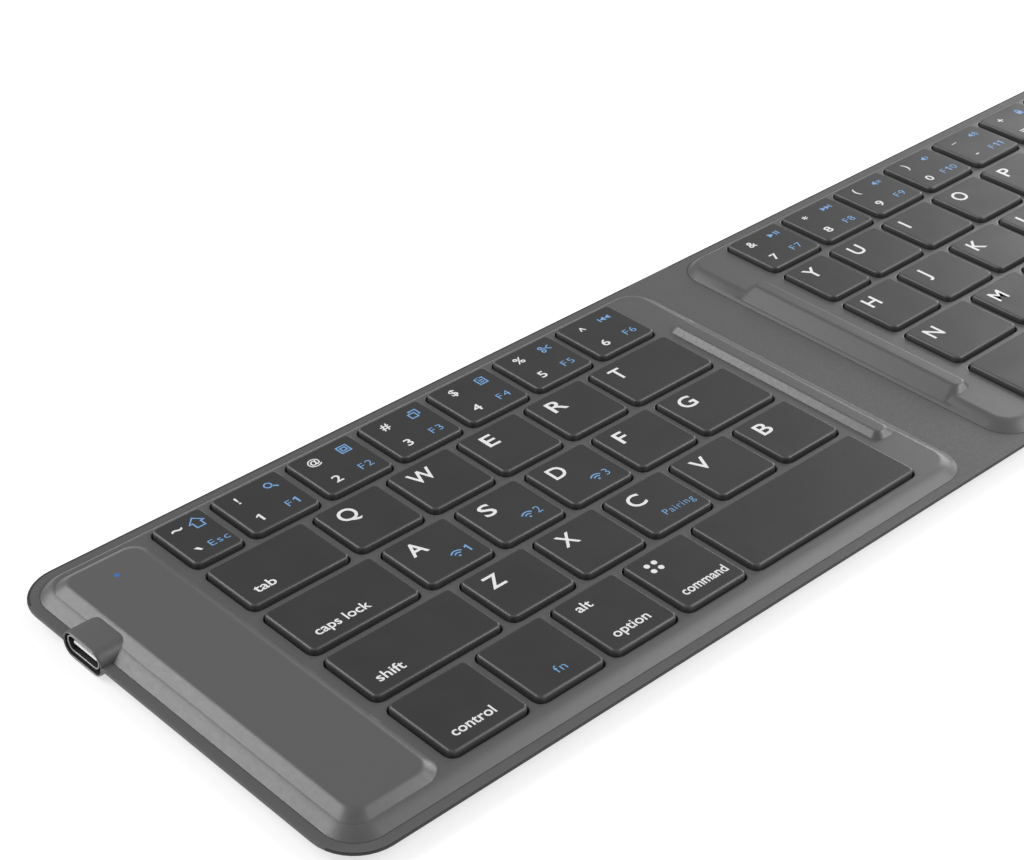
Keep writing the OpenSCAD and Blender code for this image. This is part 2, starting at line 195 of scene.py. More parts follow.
def plain_finish(name, colour, rough, dark, scale=800, depth=0.01, **settings):
    """A moulded or printed finish: two near shades of one colour, with a fine grain."""
    f = Finish(name, colour, rough, **settings)
    f.mix_colour(f.noise(scale / 8, 2), tuple(c * dark for c in colour), colour)
    f.rough_by(f.noise(scale, 2), 0.3, 0.7, rough * 0.9, min(1, rough * 1.1))
    f.bump((f.noise(scale * 3, 2), depth))
    return f.mat


def metal_finish(name, colour, rough, grain):
    """Sheet metal with a fine drawn grain along X."""
    f = Finish(name, colour, rough, Metallic=1.0)
    lines = f.noise(grain, 3, stretch=(0.05, 1, 1))
    f.mix_colour(lines, tuple(c * 0.85 for c in colour), colour)
    f.rough_by(lines, 0.3, 0.7, rough * 0.8, rough * 1.2)
    f.bump((lines, 0.004))
    return f.mat


SKIN = skin_finish()
TRAY = tray_finish()
CAP = cap_finish()
CAP_SIDE_PAINTED_LIGHT = cap_side_painted_light_finish()
WHITE = plain_finish("legend_white", (0.74, 0.74, 0.74), 0.45, 0.93)
BLUE = plain_finish("legend_blue", (0.165, 0.35, 0.63), 0.45, 0.9)
# Near-black painted shade for the membranes seen down the key wells and for the port's mouth
PAINTED_SHADE_BLACK = plain_finish("well_painted_shade_black", (0.004, 0.004, 0.004), 0.7, 0.7, Specular_IOR_Level=0.15)
# Dark paint on the upright front and back edges of the covers and spine: painted shade
EDGE_PAINTED_SHADE = plain_finish("edge_painted_shade", (0.022, 0.022, 0.023), 0.6, 0.8, scale=1500)
# Painted shade for the dark line at the foot of each tray
FOOT_PAINTED_SHADE = plain_finish("tray_foot_painted_shade", (0.035, 0.035, 0.036), 0.55, 0.8, scale=1500)
STEEL = metal_finish("base_steel", (0.5, 0.51, 0.52), 0.35, 3000)
SOCKET = metal_finish("socket_metal", (0.36, 0.36, 0.37), 0.3, 2500)
# The inside of the socket's shell: the shell's metal painted dark as painted shade
CAVITY_PAINTED_SHADE = metal_finish("socket_inside_painted_shade", (0.05, 0.05, 0.052), 0.45, 2500)
TONGUE = plain_finish("socket_tongue", (0.8, 0.8, 0.8), 0.4, 0.95)
RUBBER = plain_finish("dome_rubber", (0.62, 0.62, 0.6), 0.55, 0.9, Subsurface_Weight=0.2)
LINKS = plain_finish("link_plastic", (0.72, 0.72, 0.7), 0.3, 0.95)
FOIL = metal_finish("battery_foil", (0.56, 0.57, 0.58), 0.3, 900)
BOARD = plain_finish("board_green", (0.012, 0.09, 0.04), 0.35, 0.7, scale=2500)
FILM = plain_finish("cable_film", (0.5, 0.22, 0.03), 0.35, 0.85)
LAMP = plain_finish("status_blue", (0.02, 0.13, 0.42), 0.25, 0.85, Coat_Weight=0.5,
                    Emission_Color=(0.02, 0.16, 0.6, 1), Emission_Strength=0.08)


# Mesh building

def loop_of(x0, y0, x1, y1, radii, steps=8):
    """Outline of a rectangle, anticlockwise from its front right corner. Each corner is a quarter
    circle: centre plus radius times (cos a, sin a) for steps + 1 angles a across 90 degrees."""
    a = np.linspace(0, math.pi / 2, steps + 1)
    out = []
    corners = ((x1, y0, -1, 1, -0.5), (x1, y1, -1, -1, 0), (x0, y1, 1, -1, 0.5), (x0, y0, 1, 1, 1))
    for (x, y, sx, sy, turn), r in zip(corners, radii):
        ang = a + turn * math.pi
        out.append(np.stack([x + sx * r + r * np.cos(ang), y + sy * r + r * np.sin(ang)], 1))
    return np.concatenate(out)


def at_height(loop, z):
    return np.column_stack([loop, np.full(len(loop), z)])


def stack(loops, start=False, end=False):
    """Wraps a surface over loops of equal length: each quad joins two neighbours on one loop to the
    same two on the next. Caps close the first and last loops."""
    loops = np.asarray(loops, float)
    m, n = loops.shape[:2]
    j = np.arange(n)
    k = (j + 1) % n
    i = np.arange(m - 1)[:, None] * n
    quads = np.stack([i + j, i + k, i + n + k, i + n + j], -1).reshape(-1, 4).tolist()
    if start:
        quads.append(list(range(n))[::-1])
    if end:
        quads.append(list(range((m - 1) * n, m * n)))
    return loops.reshape(-1, 3), quads


def merged(parts):
    """Puts several (points, faces) together in one, each part's faces counted on from the last."""
    points, faces, at = [], [], 0
    for p, f in parts:
        points.append(p)
        faces += [[at + i for i in face] for face in f]
        at += len(p)
    return np.concatenate(points), faces


def plate_with_holes(outer, holes, z, flip=False):
    """Flat triangles that fill the outer loop round the holes. Each hole is convex, so a triangle
    lies in it exactly when its three corners are on it."""
    loops = [outer] + list(holes)
    flat = np.concatenate(loops)
    owner = np.concatenate([np.full(len(l), i) for i, l in enumerate(loops)])
    edges, at = [], 0
    for l in loops:
        n = len(l)
        edges += [(at + i, at + (i + 1) % n) for i in range(n)]
        at += n
    points, _, tris, origin, _, _ = delaunay_2d_cdt([Vector(p) for p in flat], edges, [], 1, 1e-7)
    index = np.array([o[0] for o in origin])
    tris = index[np.array([t for t in tris if len(t) == 3])]
    who = owner[tris]
    inside = (who[:, 0] > 0) & (who[:, 0] == who[:, 1]) & (who[:, 1] == who[:, 2])
    tris = tris[~inside]
    a, b, c = (flat[tris[:, i]] for i in range(3))
    area = (b[:, 0] - a[:, 0]) * (c[:, 1] - a[:, 1]) - (b[:, 1] - a[:, 1]) * (c[:, 0] - a[:, 0])
    tris = tris[np.abs(area) > 1e-9]
    area = area[np.abs(area) > 1e-9]
    turn = (area < 0) != flip
    tris[turn] = tris[turn][:, ::-1]
    return at_height(flat, z), tris.tolist()


def piece(name, shape, body, materials, stands_for=(), sharp=32, face_material=None):
    """Makes a mesh object from points in millimetres, smooth except at edges sharper than sharp."""
    points, faces = shape
    mesh = bpy.data.meshes.new(name)
    mesh.from_pydata((np.asarray(points) * MM).tolist(), [], faces)
    for m in materials:
        mesh.materials.append(m)
    if face_material is not None:
        mesh.polygons.foreach_set("material_index", np.asarray(face_material, np.int32))
    weld(mesh)
    mesh.shade_smooth()
    mesh.set_sharp_from_angle(angle=math.radians(sharp))
    ob = bpy.data.objects.new(name, mesh)
    bpy.context.scene.collection.objects.link(ob)
    if body:
        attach(ob, body)
    if stands_for:
        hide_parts(*stands_for)
    return ob


def weld(mesh):
    """Joins points that lie within a micrometre of each other."""
    bm = bmesh.new()
    bm.from_mesh(mesh)
    bmesh.ops.remove_doubles(bm, verts=bm.verts, dist=1e-6)
    bm.to_mesh(mesh)
    bm.free()


def slope(run, rise, foot, n=12, power=3.5):
    """Profile of a moulded edge: its angle falls from foot degrees to flat as 1 - t**power along the
    run. Gives (distance in, height) pairs, scaled to the given run and rise."""
    t = np.linspace(0, 1, n + 1)
    mid = (t[1:] + t[:-1]) / 2
    steps = np.tan(np.radians(foot) * (1 - mid ** power))
    z = np.concatenate([[0], np.cumsum(steps)])
    return np.stack([t * run, z / z[-1] * rise], 1)


# Keys: name, left edge, front edge, width, depth

def lay_out(rows, x0, width):
    """Keys of one block. The first key of a row has its own width, the next ones are one pitch
    apart, and the last fills the row to the end of the block."""
    keys = {}
    for r, (first, count, names) in enumerate(rows):
        d = FRONT_CAP_D if r == 4 else CAP_D
        y = BLOCK_Y - r * ROW - d
        second = first + GAP
        for k, name in enumerate(names.split()):
            x = 0 if k == 0 else second + (k - 1) * PITCH
            w = first if k == 0 else PITCH - GAP if k <= count else width - second - count * PITCH
            keys[name] = (x0 + x, y, w, d)
    return keys


LEFT_KEYS = lay_out([
    (10.15, 5, "esc 1 2 3 4 5 6"),
    (20.5, 4, "tab q w e r t"),
    (22.7, 4, "caps_lock a s d f g"),
    (26.7, 4, "left_shift z x c v b"),
    (16.1, 3, "control fn option command left_space")], -126.5, 109.75)
RIGHT_KEYS = lay_out([
    (14.3, 5, "7 8 9 0 minus equals backspace"),
    (11.55, 6, "y u i o p left_bracket right_bracket backslash"),
    (14.3, 5, "h j k l semicolon quote enter"),
    (18.25, 4, "n m comma full_stop slash right_shift"),
    (44.25, 4, "right_space right_command right_option left_arrow up_down right_arrow")],
    17.95, 127.25)
RIGHT_WELLS = dict(RIGHT_KEYS)
x, y, w, d = RIGHT_KEYS.pop("up_down")
HALF_CAP = (d - 0.6) / 2
RIGHT_KEYS["down_arrow"] = (x, y, w, HALF_CAP)
RIGHT_KEYS["up_arrow"] = (x, y + HALF_CAP + 0.6, w, HALF_CAP)
GROUPS = {
    "number_keys_left": "esc 1 2 3 4 5 6",
    "number_keys_right": "7 8 9 0 minus equals",
    "punctuation_keys": "left_bracket right_bracket backslash semicolon quote comma full_stop slash",
    "arrow_and_modifier_keys":
        "right_shift right_command right_option left_arrow right_arrow up_arrow down_arrow"}
NODE_OF = {k: g for g, names in GROUPS.items() for k in names.split()}


def node_of(key):
    return NODE_OF.get(key, "key_" + key)


# Millimetres: a keycap's upper edge and its top's border, its wall, and its corner at the outside
# and at the least, then the corner of a well
CAP_EDGE, CAP_BORDER, CAP_WALL = 0.4, 0.12, 1.0
CAP_CORNER, CAP_INNER_CORNER = 1.05, 0.4
CAP_BEND_FOOT = 4.5
WELL_CORNER = 1.8


def cap_shape(x, y, w, d):
    """A keycap: upright walls, a rounded upper edge, a flat top and a hollow below. Gives the shape
    and, for each face, whether it belongs to the side, which is painted lighter as painted light."""
    arc = np.radians([0, 20, 40, 55, 70, 90])
    outer = [(0.0, CAP_FOOT), (0.0, CAP_BEND_FOOT)]
    outer += [(CAP_EDGE * (1 - math.cos(a)), CAP_TOP - CAP_EDGE * (1 - math.sin(a))) for a in arc]
    outer.append((CAP_EDGE + CAP_BORDER, CAP_TOP))
    steps = [(CAP_WALL, CAP_CEILING), (CAP_WALL, CAP_FOOT)] + outer
    loops = []
    for inset, z in steps:
        r = max(CAP_CORNER - inset, CAP_INNER_CORNER)
        loop = loop_of(x + inset, y + inset, x + w - inset, y + d - inset, [r] * 4, 6)
        loops.append(at_height(loop, z))
    points, faces = stack(loops, True, True)
    # Walls, hollow and rounded edges take the lighter painted-light finish; the top and its border keep
    # the dark one
    side = [1] * (len(faces) - len(loops[0]) - 2) + [0] * (len(loops[0]) + 2)
    return (points, faces), side


def make_caps():
    nodes = {}
    for keys in (LEFT_KEYS, RIGHT_KEYS):
        for key, place in keys.items():
            nodes.setdefault(node_of(key), []).append(cap_shape(*place))
    for node, caps in nodes.items():
        name = "cap_" + node.removeprefix("key_")
        side = [kind for _, kinds in caps for kind in kinds]
        piece(name, merged([shape for shape, _ in caps]), node, [CAP, CAP_SIDE_PAINTED_LIGHT], [node],
              face_material=side)


make_caps()


# Legends

INK_LOW, INK_HIGH = CAP_TOP - 0.02, CAP_TOP + 0.02
LINE = 0.28
TEXT = bpy.data.curves.new("lettering", "FONT")
TEXT.resolution_u, TEXT.extrude = 4, 0.02
TEXT_OBJECT = bpy.data.objects.new("lettering", TEXT)
CAPITAL = 0.69


def plate_of(outline):
    return stack([at_height(outline, -1), at_height(outline, 1)], True, True)


@functools.cache
def lettering(body, thin):
    """A line of text as a closed plate: its left edge and baseline at 0, its capitals 1 high. The
    figure one has a flag and no foot. Thin text has finer lines, set wider apart."""
    if body == "1":
        return plate_of(np.array([(0.22, 0), (0.4, 0), (0.4, 1), (0.25, 1), (0, 0.8), (0, 0.62),
                                  (0.22, 0.78)]))
    if "1" in body:
        parts, x = [], 0.0
        for letter in body:
            points, faces = lettering(letter, thin)
            parts.append((points + (x, 0, 0), faces))
            x += points[:, 0].max() + (0.3 if thin else 0.16)
        return merged(parts)
    TEXT.body = body
    TEXT.offset = -0.008 if thin else 0.012
    TEXT.space_character = 1.15 if thin else 1.0
    mesh = TEXT_OBJECT.to_mesh()
    points = np.empty(3 * len(mesh.vertices))
    mesh.vertices.foreach_get("co", points)
    faces = [list(f.vertices) for f in mesh.polygons]
    TEXT_OBJECT.to_mesh_clear()
    points = points.reshape(-1, 3) / CAPITAL
    points[:, 0] -= points[:, 0].min()
    return points, faces


def inked(points, faces):
    """Sets the two faces of a plate at the two heights of the ink."""
    z = np.where(points[:, 2] > 0, INK_HIGH, INK_LOW)
    return np.column_stack([points[:, :2], z]), faces


def word(body, x, y, height, width=None, stretch=1.0, thin=False):
    """Text with its left edge at x and its baseline at y, stretched to a width if one is given."""
    points, faces = lettering(body, thin)
    across = width / np.ptp(points[:, 0]) if width else height * stretch
    return inked(points * (across, height, 1) + (x, y, 0), faces)


def mark(body, x, y, height, stretch=1.0, thin=False):
    """Text with its middle at x, y."""
    points, faces = lettering(body, thin)
    middle = (points.min(0) + points.max(0)) / 2
    return inked((points - middle) * (height * stretch, height, 1) + (x, y, 0), faces)


def slab(points):
    """A filled outline, given anticlockwise, at the two heights of the ink."""
    return stack([at_height(points, INK_LOW), at_height(points, INK_HIGH)], True, True)


def stroke(points, width=LINE, closed=False):
    """A drawn line. Its edges lie on the normal at each point, half the width out divided by the
    cosine of half the bend there, so that it keeps its width round corners."""
    p = np.asarray(points, float)
    before, after = np.roll(p, 1, 0), np.roll(p, -1, 0)
    if not closed:
        before[0] = 2 * p[0] - p[1]
        after[-1] = 2 * p[-1] - p[-2]
    a, b = p - before, after - p
    a /= np.linalg.norm(a, axis=1)[:, None]
    b /= np.linalg.norm(b, axis=1)[:, None]
    t = a + b
    t /= np.linalg.norm(t, axis=1)[:, None]
    reach = width / 2 / np.maximum(0.5, (t * a).sum(1))
    out = np.column_stack([-t[:, 1], t[:, 0]]) * reach[:, None]
    rings = np.stack([at_height(p + out, INK_LOW), at_height(p + out, INK_HIGH),
                      at_height(p - out, INK_HIGH), at_height(p - out, INK_LOW)], 1)
    if closed:
        return stack(np.concatenate([rings, rings[:1]]))
    return stack(rings, True, True)


def arc(x, y, r, start, end, steps=12):
    """Points on a circle about x, y between two angles in degrees."""
    a = np.radians(np.linspace(start, end, steps + 1))
    return np.column_stack([x + r * np.cos(a), y + r * np.sin(a)])


def ring(x, y, r):
    return stroke(arc(x, y, r, 0, 360)[:-1], closed=True)


def box(x0, y0, x1, y1):
    return np.array([(x0, y0), (x1, y0), (x1, y1), (x0, y1)], float)


def frame_line(x0, y0, x1, y1):
    return stroke(box(x0, y0, x1, y1), closed=True)


def speaker(x=0.0):
    return slab(np.array([(-1.2, -0.35), (-0.8, -0.35), (-0.2, -0.9), (-0.2, 0.9), (-0.8, 0.35),
                          (-1.2, 0.35)]) + (x, 0))


def triangle(x, y, w, h):
    """A filled triangle with its point at x, y and its base w further on, h high."""
    points = np.array([(x, y), (x + w, y - h / 2), (x + w, y + h / 2)])
    return slab(points if w > 0 else points[::-1])


def waves(x, y):
    """A dot with two arcs over it."""
    return merged([slab(arc(x, y - 0.75, 0.24, 0, 360, 8)[:-1]),
                   stroke(arc(x, y - 0.75, 0.85, 40, 140, 8)),
                   stroke(arc(x, y - 0.75, 1.5, 40, 140, 10))])


def four_dots(x, y):
    dots = [slab(arc(x + a, y + b, 0.56, 0, 360, 12)[:-1])
            for a, b in ((-0.85, -0.85), (0.85, -0.85), (0.85, 0.85), (-0.85, 0.85))]
    return merged(dots)


ICONS = {
    "1": [ring(-0.35, 0.3, 0.72), stroke([(0.2, -0.2), (1.15, -0.95)], 0.36)],
    "2": [frame_line(-1.05, -1.0, 1.05, 1.0), frame_line(-0.5, -0.45, 0.5, 0.45)],
    "3": [frame_line(-1.1, -1.05, 0.35, 0.4),
          stroke([(-0.45, 0.75), (-0.45, 1.1), (1.1, 1.1), (1.1, -0.45), (0.7, -0.45)])],
    "4": [frame_line(-0.9, -1.1, 0.9, 0.85), slab(box(-0.42, 0.6, 0.42, 1.15)),
          stroke([(-0.5, 0.1), (0.5, 0.1)]), stroke([(-0.5, -0.5), (0.5, -0.5)])],
    "5": [ring(-0.8, 0.6, 0.38), ring(-0.8, -0.6, 0.38), stroke([(-0.5, 0.38), (1.15, -0.7)]),
          stroke([(-0.5, -0.38), (1.15, 0.7)])],
    "6": [slab(box(-1.5, -0.65, -1.2, 0.65)), triangle(-1.15, 0, 1.2, 1.4),
          triangle(0.1, 0, 1.2, 1.4)],
    "7": [triangle(0.1, 0, -1.4, 1.5), slab(box(0.5, -0.7, 0.82, 0.7)),
          slab(box(1.2, -0.7, 1.52, 0.7))],
    "8": [triangle(-0.1, 0, -1.2, 1.4), triangle(1.15, 0, -1.2, 1.4),
          slab(box(1.2, -0.65, 1.5, 0.65))],
    "9": [speaker(), stroke([(0.3, -0.45), (1.2, 0.45)]), stroke([(0.3, 0.45), (1.2, -0.45)])],
    "0": [speaker(), stroke(arc(-0.2, 0, 0.7, -45, 45, 8))],
    "minus": [speaker(), stroke(arc(-0.2, 0, 0.7, -45, 45, 8)),
              stroke(arc(-0.2, 0, 1.3, -45, 45, 10))],
    "equals": [slab(box(-0.75, -1.05, 0.75, 0.15)),
               stroke(np.concatenate([[(-0.45, 0.1)], arc(0, 0.5, 0.45, 180, 0, 8),
                                      [(0.45, 0.1)]]))],
    "esc": [stroke(1.3 * np.array([(-0.65, -1.1), (0.65, -1.1), (0.65, 0), (1.15, 0), (0, 1.15),
                                   (-1.15, 0), (-0.65, 0)]), closed=True)],
    "left_arrow": [triangle(-0.9, 0, 1.5, 2.0)],
    "right_arrow": [triangle(0.9, 0, -1.5, 2.0)],
    "up_arrow": [slab(np.array([(-1.0, -0.75), (1.0, -0.75), (0, 0.75)]))],
    "down_arrow": [slab(np.array([(1.0, 0.75), (-1.0, 0.75), (0, -0.75)]))]}
# Left edge and stretch of each letter that differs from LETTER_PLACE
LETTER_PLACE = (2.85, 1)
LETTERS = {
    "w": (2.65, 0.95), "e": (3.4, 1.28), "r": (3.0, 1.25), "t": (2.85, 0.95), "s": (3.0, 1.3),
    "f": (2.85, 1.2), "g": (2.7, 1.08), "b": (2.75, 1.18), "v": (2.75, 1.08), "x": (2.9, 0.9),
    "z": (2.75, 0.98), "c": (2.85, 1.04), "y": (2.7, 1), "u": (2.65, 1), "i": (2.6, 1),
    "o": (2.8, 0.93), "p": (2.6, 1.15), "h": (2.65, 1), "j": (2.9, 1), "k": (2.5, 1),
    "l": (2.6, 1.1), "n": (2.5, 1), "m": (2.3, 0.95)}
PAIRS = dict(zip("1234567890", "!@#$%^&*()"))
PAIRS.update({"minus": "-_", "equals": "=+", "left_bracket": "[{", "right_bracket": "]}",
              "backslash": "\\|", "semicolon": ";:", "quote": "'\"", "comma": ",<",
              "full_stop": ".>", "slash": "/?"})
# Share of the usual size, for the wide upper signs
UPPER_SIZE = {"@": 0.87, "_": 0.9}
WORDS = {
    "tab": ("tab", 2.8, 2.5, 4.3), "caps_lock": ("caps lock", 3.15, 2.55, 11.2),
    "left_shift": ("shift", 2.95, 2.5, 5.55), "control": ("control", 3.0, 2.5, 8.65),
    "option": ("option", 2.8, 2.55, 7.9), "command": ("command", 2.3, 2.55, 10.3),
    "right_option": ("option", 2.6, 2.55, 7.9), "right_command": ("command", 1.8, 2.55, 10.3),
    "backspace": ("backspace", -13.1, 2.2, 10.8), "enter": ("enter", -8.6, 2.2, 6.3),
    "right_shift": ("shift", -7.7, 2.0, 5.4)}


def legend_of(key, w, d):
    """The ink on one key, as (shape, 1 if blue) pairs, measured from its front left corner."""
    white, blue = [], []
    if len(key) == 1 and key.isalpha():
        x, stretch = LETTERS.get(key, LETTER_PLACE)
        white.append(word(key.upper(), x, 7.65, 3.4, stretch=stretch))
    if key in PAIRS:
        low, high = PAIRS[key] if len(PAIRS[key]) == 2 else (key, PAIRS[key])
        x = 4.1 if key in LEFT_KEYS else 3.7
        white.append(mark(low, x - 0.5 if low == "1" else x, 3.42, 2.0, 1.25))
        white.append(mark(high, x - 0.5 if high == "!" else x, 9.9, 2.0 * UPPER_SIZE.get(high, 1), 1.08))
    if key in WORDS:
        body, x, y, width = WORDS[key]
        white.append(word(body, x if x > 0 else w + x, y, 2.0, width))
    if key.endswith("option"):
        white.append(word("alt", 2.8, 11.1, 2.0, 3.2))
    if key.endswith("command"):
        white.append(four_dots(3.9, 11.6))
    if key == "esc":
        white.append(mark("~", 3.3, 10.1, 2.8))
        white.append(mark("`", 2.9, 3.4, 4.2))
        blue.append(word("Esc", 5.15, 2.5, 1.65, 4.0, thin=True))
    if key == "fn":
        blue.append(word("fn", 6.4, 2.6, 1.8, 2.2, thin=True))
    if key == "c":
        blue.append(word("Pairing", 5.6, 2.7, 1.6, 7.0, thin=True))
    if key in "asd":
        x = 11.3 if key == "a" else 11.0
        blue.append(waves(x - 2.3, 3.7))
        blue.append(mark(str("asd".index(key) + 1), x, 3.7, 1.9, thin=True))
    if key in NUMBER_KEYS:
        x = 10.6 if key in LEFT_KEYS else 10.1
        blue.append(mark("F" + str(NUMBER_KEYS.index(key) + 1), x, 3.35, 1.75, 1.2, True))
    if key in ICONS:
        x, y = 10.25, 9.9
        if key in "12345":
            x, y = 10.75, 9.75
        elif key == "esc":
            x, y = 7.25, 9.8
        elif "arrow" in key:
            x, y = w / 2, d / 2
        points, faces = merged(ICONS[key])
        (white if "arrow" in key else blue).append((points + (x, y, 0), faces))
    return [(shape, 0) for shape in white] + [(shape, 1) for shape in blue]


NUMBER_KEYS = "1 2 3 4 5 6 7 8 9 0 minus equals".split()


def make_legends():
    nodes = {}
    for keys in (LEFT_KEYS, RIGHT_KEYS):
        for key, (x, y, w, d) in keys.items():
            for (points, faces), blue in legend_of(key, w, d):
                nodes.setdefault(node_of(key), []).append(((points + (x, y, 0), faces), blue))
    for node, items in nodes.items():
        colour = [blue for (_, faces), blue in items for _ in faces]
        piece("legend_" + node.removeprefix("key_"), merged([shape for shape, _ in items]), node,
              [WHITE, BLUE], face_material=colour)


make_legends()
bpy.data.objects.remove(TEXT_OBJECT)
bpy.data.curves.remove(TEXT)


# Trays

RIDGE_Y0, RIDGE_Y1 = -27.15, 25.65
LEDGE_X, LEDGE_Z = 6.55, 3.66
RIDGE_X, RIDGE_TOP_X, RIDGE_FOOT_X = 10.3, 12.5, 13.7
RIDGE_RISE = (SPACER_TOP - LEDGE_Z) / (RIDGE_X - LEDGE_X)
FRONT_RUN, BACK_RUN = 1.1, 0.7


def tray_rim(x0, x1, inset, z, spine_side):
    """One loop of the tray's slope, longer at the front and steeper behind the keys. Beside the ridge
    it is held down to the ridge's own line, so that a narrow ledge is left at the ridge's foot."""
    y, r = HALF_D - FLANGE, CORNER - FLANGE
    loop = loop_of(x0 + inset, -y + inset * FRONT_RUN, x1 - inset, y - inset * BACK_RUN,
                   [r - inset] * 4, 10)
    stations = np.array([RIDGE_Y0 - 0.9, RIDGE_Y0 - 0.3, RIDGE_Y1 + 0.3, RIDGE_Y1 + 0.9])
    edge = SPINE + inset
    low = np.full(4, z)
    low[1:3] = min(z, max(LEDGE_Z, LEDGE_Z + (edge - LEDGE_X) * RIDGE_RISE - 0.12))
    if spine_side < 0:
        added = np.column_stack([np.full(4, -edge), stations, low])
        at = 11
    else:
        added = np.column_stack([np.full(4, edge), stations[::-1], low[::-1]])
        at = 33
    loop = at_height(loop, z)
    return np.concatenate([loop[:at], added, loop[at:]])


def tray_shape(x0, x1, keys, spine_side):
    """A slab with a moulded slope all round and a well for each key. The slope's loops step in and
    up its profile; each well's loops step out over a small rounding and down its wall."""
    profile = [(i, FLANGE_TOP + z) for i, z in slope(3.1, TRAY_TOP - FLANGE_TOP, 34)]
    profile.append((3.2, TRAY_TOP))
    rim = [tray_rim(x0, x1, i, z, spine_side) for i, z in profile]
    parts = [stack(rim)]
    lip = [(0.25, TRAY_TOP), (0.12, TRAY_TOP), (0.035, TRAY_TOP - 0.035), (0, TRAY_TOP - 0.12),
           (0, FLANGE_TOP)]
    tops, feet = [], []
    for x, y, w, d in keys.values():
        g = WELL_GAP
        loops = [loop_of(x - g - o, y - g - o, x + w + g + o, y + d + g + o, [WELL_CORNER + o] * 4, 5)
                 for o, _ in lip]
        parts.append(stack([at_height(l, z) for l, (_, z) in zip(loops, lip)]))
        tops.append(loops[0])
        feet.append(loops[-1])
    parts.append(plate_with_holes(rim[-1][:, :2], tops, TRAY_TOP))
    parts.append(plate_with_holes(rim[0][:, :2], feet, FLANGE_TOP, flip=True))
    return merged(parts)


def mound(rect, runs, radii, profile, sunk):
    """A raised block. Loops step in and up the profile of (part of the run, height) pairs: each
    side moves in by its own run times the part, and the corners go from the first radius to the
    second. The first loop is sunk in what carries it."""
    x0, y0, x1, y1 = rect
    left, ends, right = runs
    loops = []
    for t, z in [(0, sunk)] + profile:
        r = radii[0] + t * (radii[1] - radii[0])
        loop = loop_of(x0 + t * left, y0 + t * ends, x1 - t * right, y1 - t * ends, [r] * 4, 8)
        loops.append(at_height(loop, z))
    return stack(loops, True, True)


def even_slope(foot, top, soft=0.16):
    """A straight slope from foot to top whose last part, soft, bends over to level: the fall of the
    slope fades as the cosine of the way through that part."""
    t = np.concatenate([[0, 0.5], np.linspace(1 - 2 * soft, 1 + 0.5 * soft, 9)])
    fall = np.where(t < 1 - 2 * soft, 1.0,
                    0.5 + 0.5 * np.cos(math.pi * (t - 1 + 2 * soft) / (2.5 * soft)))
    z = np.concatenate([[0], np.cumsum(np.diff(t) * (fall[1:] + fall[:-1]) / 2)])
    return list(zip(t, foot + z / z[-1] * (top - foot)))


PLATFORM_TOP = SPACER_TOP - 0.01


def make_trays():
    inner, outer = SPINE, HALF_W - FLANGE
    left = piece("tray_left", tray_shape(-outer, -inner, LEFT_KEYS, -1), "left_half", [TRAY],
                 ["left_tray"])
    piece("tray_right", tray_shape(inner, outer, RIGHT_WELLS, 1), "right_half", [TRAY],
          ["right_tray"])
    block = piece("battery_platform", mound(
        (-147.6, -39.7, -128.7, 39.7), (2.3, 2.3, 2.3), (3.7, 2.2),
        even_slope(TRAY_TOP - 0.12, PLATFORM_TOP, 0.2), 3.9), "left_half", [TRAY])
    return left, block


def make_ridge(side):
    """The spacer ridge beside the spine: a long slope towards the spine, short ones elsewhere."""
    deep = (RIDGE_FOOT_X - RIDGE_TOP_X) / (SPACER_TOP - TRAY_TOP)
    grow = deep * (TRAY_TOP - LEDGE_Z)
    lift = SPACER_TOP - LEDGE_Z
    short = deep * lift
    rect = [LEDGE_X, RIDGE_Y0 - grow, RIDGE_FOOT_X + grow, RIDGE_Y1 + grow]
    runs = (RIDGE_X - LEDGE_X, short, short)
    if side < 0:
        rect[0], rect[2] = -rect[2], -rect[0]
        runs = (short, short, RIDGE_X - LEDGE_X)
    shape = mound(rect, runs, (2.8, 0.9), even_slope(LEDGE_Z, SPACER_TOP, 0.12), LEDGE_Z - 0.3)
    name = "ridge_left" if side < 0 else "ridge_right"
    piece(name, shape, "left_half" if side < 0 else "right_half", [TRAY])


def make_foot_shade(side):
    """A dark line of painted shade round the foot of a tray, where it meets the cover: a low strip
    between two loops.
    """
    y, r = HALF_D - FLANGE, CORNER - FLANGE
    x0, x1 = (-HALF_W + FLANGE, -SPINE) if side < 0 else (SPINE, HALF_W - FLANGE)
    loops = []
    for out, z in ((-0.3, 3.19), (-0.3, 3.22), (0.1, 3.22), (0.16, 3.19)):
        loops.append(at_height(loop_of(x0 - out, -y - out, x1 + out, y + out, [r + out] * 4, 10),
                               z))
    name = "foot_shade_left" if side < 0 else "foot_shade_right"
    piece(name, stack(loops[::-1] + loops[-1:]), "left_half" if side < 0 else "right_half",
          [FOOT_PAINTED_SHADE])


tray_left, platform = make_trays()
for side in (-1, 1):
    make_ridge(side)
    make_foot_shade(side)


# Covers and spine

